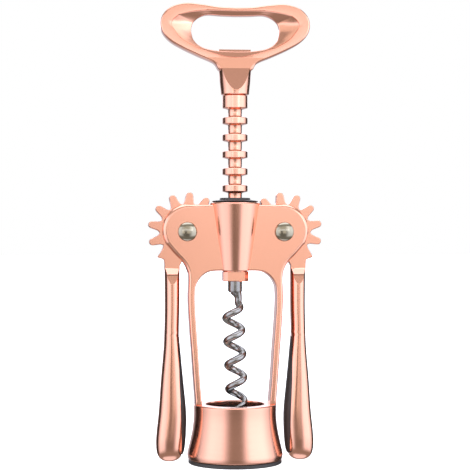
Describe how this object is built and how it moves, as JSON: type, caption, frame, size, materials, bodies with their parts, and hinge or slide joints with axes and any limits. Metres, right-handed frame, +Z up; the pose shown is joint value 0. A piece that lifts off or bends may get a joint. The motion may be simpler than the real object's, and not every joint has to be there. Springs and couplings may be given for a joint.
{
  "type": "lever corkscrew",
  "caption": "Winged lever corkscrew: two geared levers lift a ringed rack with a steel worm out of a bell-footed frame; the flat handle is also a crown-cap opener.",
  "frame": {"origin": "centre of the foot, on the surface that the bell stands on", "axes": "+Z up along the worm and the rack, +X to the right lever, -Y to the front"},
  "size_m": [0.0718, 0.0396, 0.19],
  "materials": {
    "rose_gold_plate": "polished",
    "worm_steel": "satin",
    "rivet_steel": "satin",
    "black_plastic": "matt"
  },
  "bodies": {
    "frame": {"frame_body": "rose_gold_plate", "bell_base": "rose_gold_plate", "bell_liner": "black_plastic", "left_pivot_rivet": "rivet_steel", "right_pivot_rivet": "rivet_steel", "left_rivet_cap": "rivet_steel", "right_rivet_cap": "rivet_steel"},
    "left_lever": {"left_lever": "rose_gold_plate", "left_lever_grip": "black_plastic"},
    "right_lever": {"right_lever": "rose_gold_plate", "right_lever_grip": "black_plastic"},
    "guide_bush": {"guide_bush": "black_plastic"},
    "rack_unit": {"rack_shaft": "rose_gold_plate", "worm_collar": "rose_gold_plate", "worm": "worm_steel", "opener_handle": "rose_gold_plate"}
  },
  "joints": [
    {"name": "left_lever_pivot", "type": "hinge", "parent": "frame", "child": "left_lever", "pos_m": [-0.02, 0, 0.0955], "axis": [0, 1, 0], "range_deg": [0, 150]},
    {"name": "right_lever_pivot", "type": "hinge", "parent": "frame", "child": "right_lever", "pos_m": [0.02, 0, 0.0955], "axis": [0, -1, 0], "range_deg": [0, 150]},
    {"name": "handle_spin", "type": "hinge", "parent": "frame", "child": "guide_bush", "pos_m": [0, 0, 0.1074], "axis": [0, 0, 1], "continuous": true},
    {"name": "rack_slide", "type": "slide", "parent": "guide_bush", "child": "rack_unit", "axis": [0, 0, -1], "range_m": [0, 0.038]}
  ],
  "couplings": [
    {"joint": "right_lever_pivot", "follows": "left_lever_pivot", "ratio": 1},
    {"joint": "rack_slide", "follows": "left_lever_pivot", "m_per_rad": 0.014483}
  ]
}
